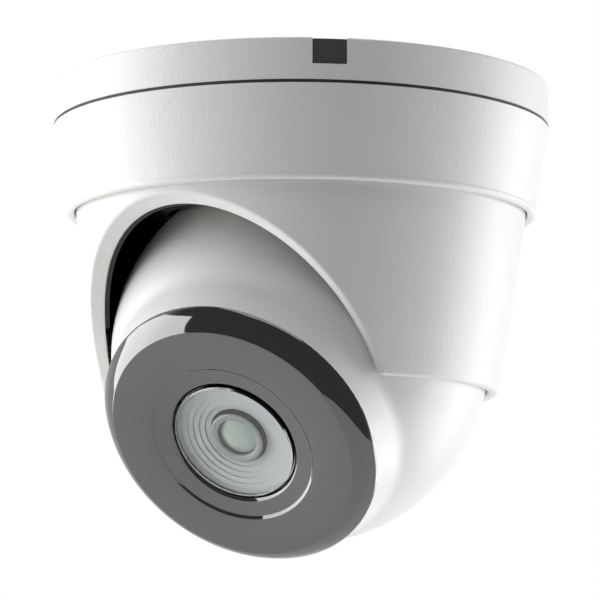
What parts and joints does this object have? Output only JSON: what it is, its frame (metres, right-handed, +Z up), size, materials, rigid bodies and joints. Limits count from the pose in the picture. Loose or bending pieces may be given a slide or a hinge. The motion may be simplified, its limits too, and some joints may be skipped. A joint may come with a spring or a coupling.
{
  "type": "ceiling turret security camera",
  "caption": "White ceiling turret security camera with a ball that tilts and swings in a panning shell, twist-lock trim ring and black infrared face.",
  "frame": {"origin": "centre of the ceiling face, which is also the centre of the ceiling screws' circle", "axes": "+Z up into the ceiling; -Y towards the side cable outlet; the face looks down between -X and -Y at rest"},
  "size_m": [0.122, 0.122, 0.1168],
  "materials": {
    "paint_textured": "white powder coat with a fine orange-peel texture",
    "paint_smooth": "smooth satin white paint",
    "liner_black": "matt black moulded plastic",
    "foam_black": "closed-cell foam",
    "plug_rubber": "dark grey rubber",
    "seal_rubber": "black rubber",
    "nylon_white": "natural nylon",
    "frame_steel": "zinc-plated pressed steel",
    "fastener_steel": "plated steel",
    "carriage_nylon": "glass-filled black nylon",
    "plate_aluminium": "mill-finish aluminium",
    "bezel_gloss": "glossy infrared-pass black plastic",
    "window_clear": "clear coated glass",
    "baffle_grey": "matt grey moulding",
    "board_green": "green solder resist",
    "component_black": "moulded epoxy packages",
    "led_resin": "clear epoxy domes",
    "sensor_dark": "sensor package under cover glass",
    "holder_black": "matt black moulding",
    "filter_blue": "tinted filter glass",
    "barrel_black": "black anodised aluminium",
    "lens_glass": "coated optical glass",
    "standoff_brass": "turned brass",
    "ribbon_film": "amber polyimide film",
    "desiccant_paper": "paper sachet"
  },
  "bodies": {
    "base": {"mounting_base": "paint_textured", "ceiling_seal": "foam_black", "side_outlet_plug": "plug_rubber", "seam_gasket": "seal_rubber", "pan_glide_ring": "nylon_white"},
    "trim": {"trim_ring": "paint_textured"},
    "turret": {"turret_shell": "paint_textured", "black_liner": "liner_black", "liner_screws": "fastener_steel", "swivel_spring": "frame_steel"},
    "swivel": {"swivel_frame": "frame_steel"},
    "carriage": {"tilt_carriage": "carriage_nylon", "guide_studs": "fastener_steel", "guide_nuts": "fastener_steel", "roll_clip": "fastener_steel"},
    "ball": {"ball_front_shell": "paint_smooth", "ball_rear_cover": "paint_smooth", "ball_bulkhead": "plate_aluminium", "bulkhead_seal": "seal_rubber", "ball_screws": "fastener_steel", "cable_gland": "seal_rubber", "desiccant_pack": "desiccant_paper", "front_bezel": "bezel_gloss", "bezel_seal": "seal_rubber", "lens_window": "window_clear", "lens_baffle": "baffle_grey", "ir_board": "board_green", "ir_leds": "led_resin", "light_sensor": "sensor_dark", "lens_holder": "holder_black", "ir_cut_motor": "holder_black", "sensor_board": "board_green", "image_sensor": "sensor_dark", "board_standoffs": "standoff_brass", "board_screws": "fastener_steel", "chassis_plate": "plate_aluminium", "chassis_screws": "fastener_steel", "main_board": "board_green", "main_board_parts": "component_black", "led_ribbon": "ribbon_film"},
    "filter": {"ir_cut_slide": "holder_black", "filter_glasses": "filter_blue"},
    "lens": {"lens_barrel": "barrel_black", "lens_front_glass": "lens_glass", "lens_rear_glass": "lens_glass"}
  },
  "joints": [
    {"name": "trim_twist", "type": "hinge", "parent": "base", "child": "trim", "pos_m": [0, 0, 0], "axis": [0, 0, 1], "range_deg": [0, 35]},
    {"name": "turret_pan", "type": "hinge", "parent": "base", "child": "turret", "pos_m": [0, 0, 0], "axis": [0, 0, 1], "continuous": true},
    {"name": "ball_swing", "type": "hinge", "parent": "turret", "child": "swivel", "pos_m": [0, 0, -0.06585], "axis": [0, 0, 1], "range_deg": [-10.6, 0]},
    {"name": "ball_tilt", "type": "hinge", "parent": "swivel", "child": "carriage", "pos_m": [0, 0, -0.06585], "axis": [0.81, -0.5864, 0], "range_deg": [-7.6, 52.4]},
    {"name": "ball_roll", "type": "hinge", "parent": "carriage", "child": "ball", "pos_m": [0, 0, -0.06585], "axis": [-0.4646, -0.6418, -0.6101], "continuous": true},
    {"name": "filter_slide", "type": "slide", "parent": "ball", "child": "filter", "axis": [0.81, -0.5864, 0], "range_m": [-0.0064, 0]},
    {"name": "lens_focus", "type": "hinge", "parent": "ball", "child": "lens", "pos_m": [0, 0, -0.06585], "axis": [-0.4646, -0.6418, -0.6101], "continuous": true}
  ]
}
